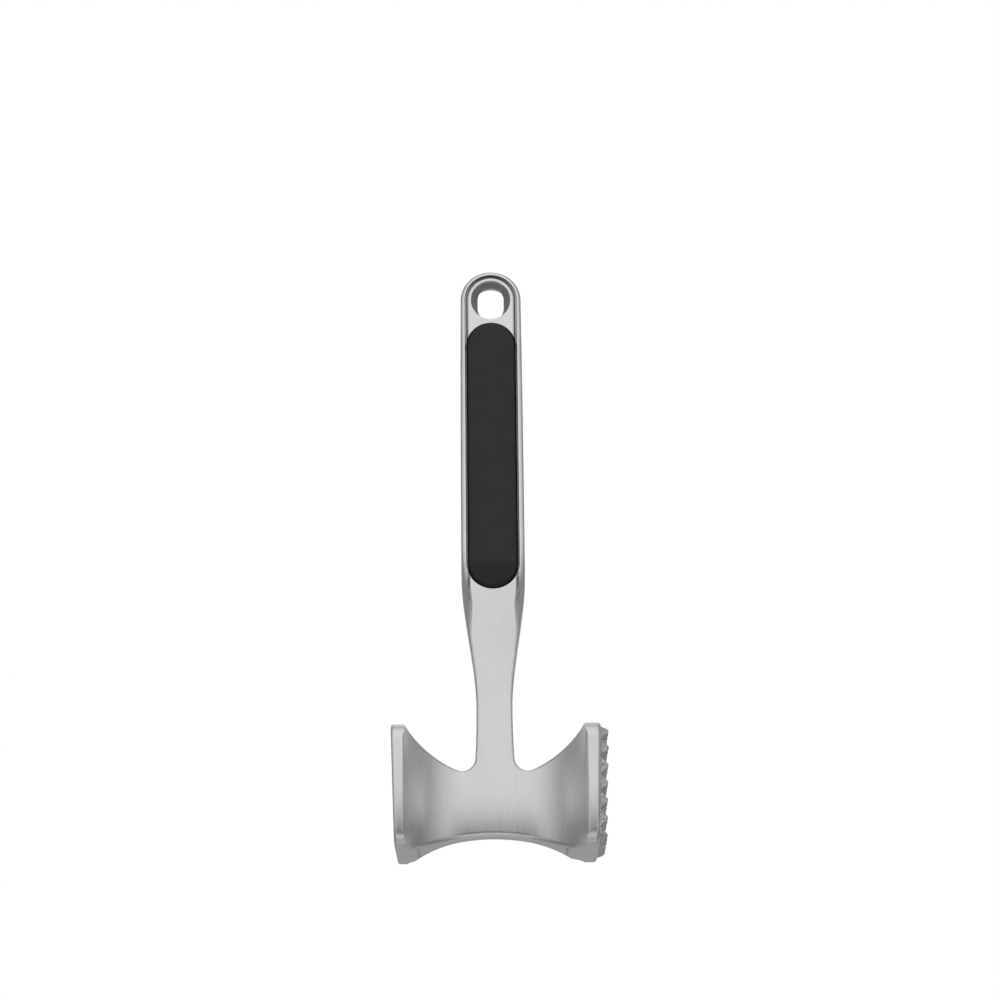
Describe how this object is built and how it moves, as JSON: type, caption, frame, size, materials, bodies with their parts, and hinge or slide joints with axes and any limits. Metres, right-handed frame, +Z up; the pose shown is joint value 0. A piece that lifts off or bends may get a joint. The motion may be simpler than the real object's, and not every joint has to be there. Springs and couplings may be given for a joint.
{
  "type": "meat mallet",
  "caption": "Two-faced meat mallet: a smooth square pounding face and a toothed face on one light metal casting, with rubber grip pads and a hanging hole.",
  "frame": {"origin": "middle of the footprint of the two flange feet, on the ground plane, on the middle plane of the handle", "axes": "+Z up the handle, +X towards the toothed face, -X towards the smooth pounding face, -Y towards the front"},
  "size_m": [0.0962, 0.0552, 0.2745],
  "materials": {
    "casting_metal": "satin, finely brushed along the handle",
    "rough_cast_metal": "rough as cast, darker than the rest of the head",
    "steel": "plain machined, hidden inside",
    "grip_rubber": "soft matte black",
    "carrier_plastic": "plain moulded, hidden inside",
    "eye_metal": "satin, finely brushed",
    "liner_plastic": "dark grey, smooth matte"
  },
  "bodies": {
    "root": {"mallet_casting": "casting_metal", "tenderizer_plate": "rough_cast_metal", "tenderizer_plate_pins": "steel", "grip_front": "grip_rubber", "grip_rear": "grip_rubber", "grip_carrier_front": "carrier_plastic", "grip_carrier_rear": "carrier_plastic", "grip_carrier_screws": "steel", "hanging_eye_front": "eye_metal", "hanging_eye_rear": "eye_metal", "hanging_eye_liner": "liner_plastic"}
  },
  "joints": []
}
